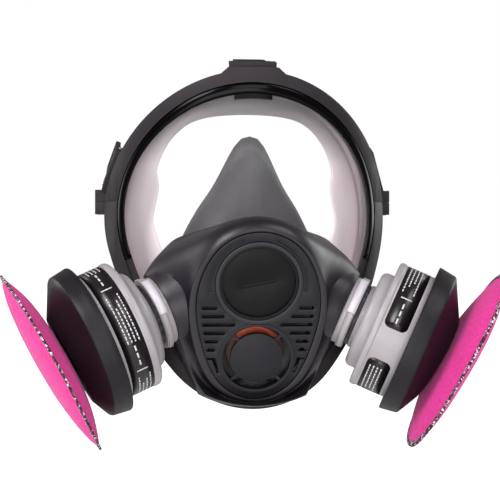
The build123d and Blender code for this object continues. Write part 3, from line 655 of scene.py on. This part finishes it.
# ---------------------------------------------------------------- labels on the cartridges
def plane_of(origin, axis):
    """A matrix with local z along an axis, local x near +Y, as the CAD's port planes have."""
    z = Vector(axis).normalized()
    x = Vector((0, 1, 0)) - z * z.y
    x.normalize()
    return Matrix.Translation(Vector(origin)) @ Matrix((x, z.cross(x), z)).transposed().to_4x4()


def port_matrix(sidename):
    joint = JOINTS[f"cartridge_{sidename}_unscrew"]
    return plane_of([c / MM for c in joint["pos_m"]], joint["axis"])


def filter_matrix(sidename):
    joint = JOINTS[f"filter_{sidename}_turn"]
    return plane_of([c / MM for c in joint["pos_m"]], joint["axis"])


CASE_R, RING_R = 38.0, 21.6
LABEL_LOW, LABEL_HIGH, LABEL_SPAN = 21.6, 35.6, 330
FILM, INK = 0.1, 0.05
LABEL_R = CASE_R + 0.02
PRINT_R = LABEL_R + FILM
GRIP_SPAN, GRIP_LIFT = 66, 1.1


def band_patch(place, radius, w0, w1, a0, a1, lift, step=4.0, corner=0.0):
    """A thin curved patch on a cylinder between two stations and two angles, in millimetres and degrees."""
    count = max(2, int(abs(a1 - a0) / step) + 1)
    turns = [math.radians(a0 + (a1 - a0) * i / (count - 1)) for i in range(count)]
    if corner:
        ends = [corner / radius * (1 - math.cos(math.radians(15 * k))) for k in range(7)]
        inner = [t for t in turns if turns[0] + ends[-1] < t < turns[-1] - ends[-1]]
        turns = [turns[0] + e for e in ends] + inner + [turns[-1] - e for e in reversed(ends)]
        count = len(turns)
    verts = []
    for a in turns:
        near = min(a - turns[0], turns[-1] - a) * radius
        cut = corner - math.sqrt(max(corner**2 - (corner - near) ** 2, 0.0)) if near < corner else 0.0
        low, high = w0 + cut, w1 - cut
        for r, w in ((radius, low), (radius + lift, low), (radius + lift, high), (radius, high)):
            verts.append(tuple(place @ Vector((r * math.cos(a), r * math.sin(a), w))))
    faces = rings_to_faces(count, 4, closed_path=False)
    last = (count - 1) * 4
    faces.append((0, 1, 2, 3))
    faces.append((last + 3, last + 2, last + 1, last))
    return verts, faces


def joined(parts):
    verts, faces = [], []
    for v, f in parts:
        base = len(verts)
        verts.extend(v)
        faces.extend(tuple(base + k for k in face) for face in f)
    return verts, faces


def build_label(sidename):
    """A dark wrap-round label with plain rows of light dashes where small print would be."""
    place = port_matrix(sidename)
    body = f"cartridge_{sidename}"
    start = 211 if sidename == "left" else 0
    end = start + LABEL_SPAN
    verts, faces = band_patch(place, LABEL_R, LABEL_LOW, LABEL_HIGH, start, end, FILM, corner=3.5)
    label = mesh_piece(f"cartridge_label_{sidename}", verts, faces, [MATS["label"]], body)
    dashes = []
    seed = 7
    for turn in (start + 8, start + 88, start + 168, start + 248):
        for row in range(4):
            angle = float(turn)
            while angle < turn + 44 - 6 * (row % 3):
                seed = (seed * 1103515245 + 12345) % 2147483648
                long = 1.2 + 2.6 * (seed / 2147483648)
                w = 23.8 + row * 2.3
                dashes.append(band_patch(place, PRINT_R, w, w + 0.75, angle, angle + long, INK, 1.5))
                angle += long + 0.9
        dashes.append(band_patch(place, PRINT_R, 24.6, 31.4, turn + 52, turn + 53.2, INK, 1.0))
        for angle in range(turn + 58, turn + 79, 7):
            dashes.append(band_patch(place, PRINT_R, 27.6, 28.6, angle, angle + 5, INK, 1.5))
    verts, faces = joined(dashes)
    prints = mesh_piece(f"cartridge_print_{sidename}", verts, faces, [MATS["print"]], body)


def build_grip(sidename):
    """The light raised grip on the ring behind a cartridge."""
    place = port_matrix(sidename)
    turn = 118 if sidename == "left" else 176
    low, high = -0.6, 4.3
    verts, faces = band_patch(place, RING_R - 0.1, low, high, turn, turn + GRIP_SPAN, GRIP_LIFT, corner=0.8)
    lug = mesh_piece(f"connector_grip_{sidename}", verts, faces, [MATS["lug"]], "facepiece")


# ---------------------------------------------------------------- pancake filters
# Height of the welded seam above the filter's foot, in millimetres.
SEAM = 9.9


def build_filter(sidename):
    """Two domed web layers welded at the rim, gathered into small pleats beside the weld."""
    place = filter_matrix(sidename)
    hole_r, hole_floor = 14.5, 6.5
    inner = [
        (hole_r, 0.9), (16.0, 0.75), (18.0, 0.85), (24.0, 1.4), (30.0, 2.2), (36.0, 3.3),
        (41.0, 4.5), (45.0, 5.7), (48.5, 7.0), (51.2, 8.1), (53.2, 8.8), (54.4, 9.1),
    ]
    weld = [(55.2, 9.2), (57.3, 9.3), (57.5, 10.5), (55.2, 10.6)]
    outer = [
        (54.4, 10.7), (53.2, 11.0), (51.2, 11.7), (48.5, 12.7), (45.0, 13.7), (41.0, 14.6),
        (36.0, 15.4), (30.0, 16.1), (22.0, 16.8), (13.0, 17.2), (6.0, 17.35), (1.2, 17.4),
    ]
    profile = inner + weld + outer
    count = 240
    verts, face_mats = [], []
    for i in range(count):
        a = 2 * math.pi * i / count
        for r, w in profile:
            pinch = math.exp(-((r - 51.0) / 3.4) ** 2)
            pleat = 0.2 * math.sin(54 * a + 1.3 * math.sin(5 * a)) + 0.14 * math.sin(31 * a + 2.0)
            sag = 0.35 * math.sin(3 * a + 0.7) * math.exp(-((r - 40.0) / 12.0) ** 2)
            side_sign = 1.0 if w > SEAM else -1.0
            keep = 1.0 if 18 < r < 55.2 else 0.0
            w2 = w + side_sign * keep * (pinch * pleat + sag)
            wave = 0.5 * math.sin(3 * a + 1.0) * max(0.0, (r - 40.0) / 18.0)
            verts.append(tuple(place @ Vector((r * math.cos(a), r * math.sin(a), w2 + wave))))
    size = len(profile)
    faces = rings_to_faces(count, size, closed_ring=False)
    for i in range(count):
        for k in range(size - 1):
            face_mats.append(1 if len(inner) - 1 <= k <= len(inner) + len(weld) - 1 else 0)
    faces.append(tuple(i * size + size - 1 for i in range(count)))
    face_mats.append(0)
    base = len(verts)
    for i in range(count):
        a = 2 * math.pi * i / count
        verts.append(tuple(place @ Vector((hole_r * math.cos(a), hole_r * math.sin(a), hole_floor))))
    for i in range(count):
        j = (i + 1) % count
        faces.append((base + i, i * size, j * size, base + j))
        face_mats.append(0)
    faces.append(tuple(base + i for i in range(count)))
    face_mats.append(0)
    mats = [MATS["web"], MATS["weld"]]
    pad = mesh_piece(f"filter_media_{sidename}", verts, faces, mats, f"filter_{sidename}", face_mats)
    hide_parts(f"filter_pad_{sidename}")


build_bezel()
build_brow_tab()
build_seal()
build_nose_cup()
for which in ("left", "right"):
    build_label(which)
    build_grip(which)
    build_filter(which)


# ---------------------------------------------------------------- floor, light and camera
def build_stage():
    """A wide pale floor that the camera sees as plain white."""
    mesh = bpy.data.meshes.new("floor")
    reach, low = 30.0, -0.75
    corners = [(-reach, -reach, low), (reach, -reach, low), (reach, reach, low), (-reach, reach, low)]
    mesh.from_pydata(corners, [], [(0, 1, 2, 3)])
    floor = bpy.data.objects.new("floor", mesh)
    bpy.context.scene.collection.objects.link(floor)
    n = Nodes("floor_pale")
    tone = n.mix(n.noise(0.6, 3.0), (0.93, 0.93, 0.93, 1.0), (0.97, 0.97, 0.97, 1.0))
    n.put(n.bsdf, "Base Color", tone)
    n.put(n.bsdf, "Roughness", 0.9)
    n.put(n.bsdf, "Emission Color", (1.0, 1.0, 1.0, 1.0))
    camera_ray = n.add("ShaderNodeLightPath").outputs["Is Camera Ray"]
    n.put(n.bsdf, "Emission Strength", n.remap(camera_ray, 0.0, 1.0))
    floor.data.materials.append(n.mat)


def area_light(name, place, target, size, power, colour=(1.0, 1.0, 1.0)):
    """A square soft light that the camera doesn't see."""
    data = bpy.data.lights.new(name, "AREA")
    data.shape = "SQUARE"
    data.size = size
    data.energy = power
    data.color = colour
    light = bpy.data.objects.new(name, data)
    light.location = place
    light.rotation_euler = (Vector(target) - Vector(place)).to_track_quat("-Z", "Y").to_euler()
    bpy.context.scene.collection.objects.link(light)
    light.visible_camera = False


def build_light():
    """A white world, dimmed for all but the camera, and six soft lights round the mask."""
    world = bpy.data.worlds.new("studio")
    bpy.context.scene.world = world
    world.use_nodes = True
    tree = world.node_tree
    back = tree.nodes["Background"]
    path = tree.nodes.new("ShaderNodeLightPath")
    mix = tree.nodes.new("ShaderNodeMapRange")
    mix.inputs["To Min"].default_value = 0.27
    mix.inputs["To Max"].default_value = 1.0
    tree.links.new(path.outputs["Is Camera Ray"], mix.inputs["Value"])
    tree.links.new(mix.outputs["Result"], back.inputs["Strength"])
    back.inputs["Color"].default_value = (1.0, 1.0, 1.0, 1.0)
    aim = (0.0, -0.03, -0.02)
    area_light("key_left", (-1.0, -0.95, 0.85), aim, 0.7, 24.0, (1.0, 0.98, 1.0))
    area_light("key_right", (0.8, -0.75, 1.1), aim, 0.7, 11.0)
    area_light("front_low", (-0.25, -1.5, -0.6), aim, 1.2, 21.0)
    area_light("front_high", (0.1, -1.7, 0.5), aim, 0.8, 9.0)
    area_light("rim_right", (1.1, 0.6, 0.3), aim, 0.6, 5.0)
    area_light("rim_left", (-1.1, 0.6, 0.3), aim, 0.6, 5.0)


def build_camera():
    """A camera level with the mask, turned a few degrees towards its right side."""
    yaw = math.radians(6.0)
    forward = Vector((math.sin(yaw), math.cos(yaw), 0.0))
    right = Vector((math.cos(yaw), -math.sin(yaw), 0.0))
    target = right * 0.0035 + Vector((0, 0, -0.0087))
    data = bpy.data.cameras.new("camera")
    data.sensor_width = 36.0
    data.lens = 116.1
    data.clip_end = 200.0
    camera = bpy.data.objects.new("camera", data)
    camera.location = target - forward * 1.0
    camera.rotation_euler = forward.to_track_quat("-Z", "Y").to_euler()
    bpy.context.scene.collection.objects.link(camera)
    bpy.context.scene.camera = camera


build_stage()
build_light()
build_camera()
bpy.context.scene.view_settings.view_transform = "Standard"
